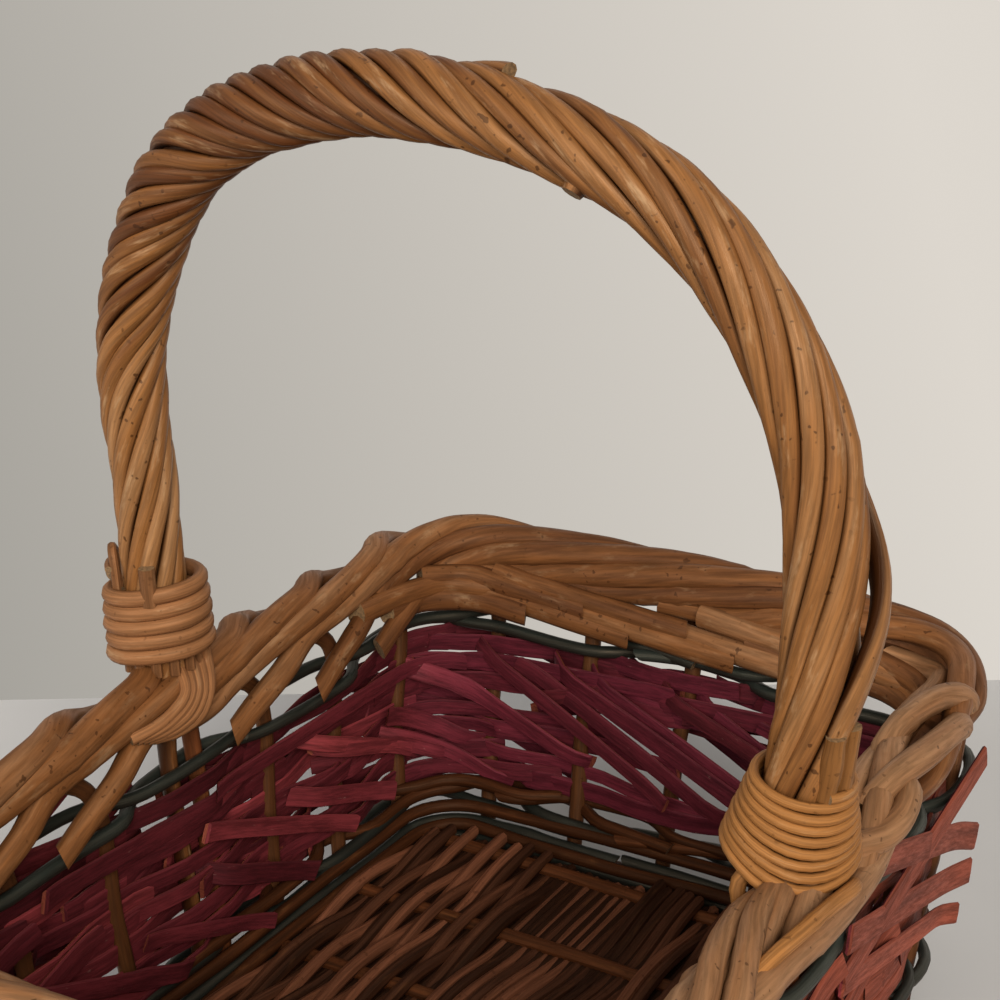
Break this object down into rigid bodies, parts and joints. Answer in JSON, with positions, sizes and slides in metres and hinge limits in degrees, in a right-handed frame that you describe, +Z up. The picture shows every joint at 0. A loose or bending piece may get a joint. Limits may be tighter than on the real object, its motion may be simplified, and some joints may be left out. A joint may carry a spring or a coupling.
{
  "type": "harvest basket",
  "caption": "Rectangular willow harvest basket with flared woven sides, a roped border, a woven rod base and a high arched handle of laid rods bound to the rim.",
  "frame": {"origin": "on the table under the middle of the basket", "axes": "+Z up, +Y along the basket's length, X across it in the plane of the handle"},
  "size_m": [0.2898, 0.3878, 0.3575],
  "materials": {
    "handle_willow": "amber willow with bark, dull sheen",
    "left_binding": "peeled tan willow, dull sheen",
    "right_binding": "golden willow, dull sheen",
    "border_willow": "brown willow with bark, dull sheen",
    "brown_willow": "dark brown willow with bark, matt",
    "green_willow": "dark green willow bark, satin",
    "red_strip": "split strips stained dark red, matt",
    "base_willow": "dark brown willow, matt"
  },
  "bodies": {
    "root": {"handle_core": "handle_willow", "handle_rod_1": "handle_willow", "handle_rod_2": "handle_willow", "handle_rod_3": "handle_willow", "handle_rod_4": "handle_willow", "handle_rod_5": "handle_willow", "handle_rod_6": "handle_willow", "handle_rod_7": "handle_willow", "handle_rod_8": "handle_willow", "handle_rod_9": "handle_willow", "left_collar": "left_binding", "left_lashing": "left_binding", "right_collar": "right_binding", "right_peg_1": "right_binding", "right_peg_2": "right_binding", "stake_01": "border_willow", "stake_02": "border_willow", "stake_03": "border_willow", "stake_04": "border_willow", "stake_05": "border_willow", "stake_06": "border_willow", "stake_07": "border_willow", "stake_08": "border_willow", "stake_09": "border_willow", "stake_10": "border_willow", "stake_11": "border_willow", "stake_13": "border_willow", "stake_14": "border_willow", "stake_15": "border_willow", "stake_16": "border_willow", "stake_17": "border_willow", "stake_18": "border_willow", "stake_19": "border_willow", "stake_20": "border_willow", "stake_21": "border_willow", "stake_22": "border_willow", "stake_23": "border_willow", "left_liner": "brown_willow", "right_liner": "brown_willow", "lower_wale_2": "brown_willow", "base_stick_1": "brown_willow", "base_stick_2": "brown_willow", "base_stick_3": "brown_willow", "base_stick_4": "brown_willow", "base_stick_5": "brown_willow", "base_stick_6": "brown_willow", "lower_wale_1": "green_willow", "upper_wale_1": "green_willow", "upper_wale_2": "green_willow", "siding_row_1": "red_strip", "siding_row_2": "red_strip", "siding_row_3": "red_strip", "siding_row_4": "red_strip", "siding_row_5": "red_strip", "foot_ring": "base_willow", "base_weave": "base_willow"}
  },
  "joints": []
}
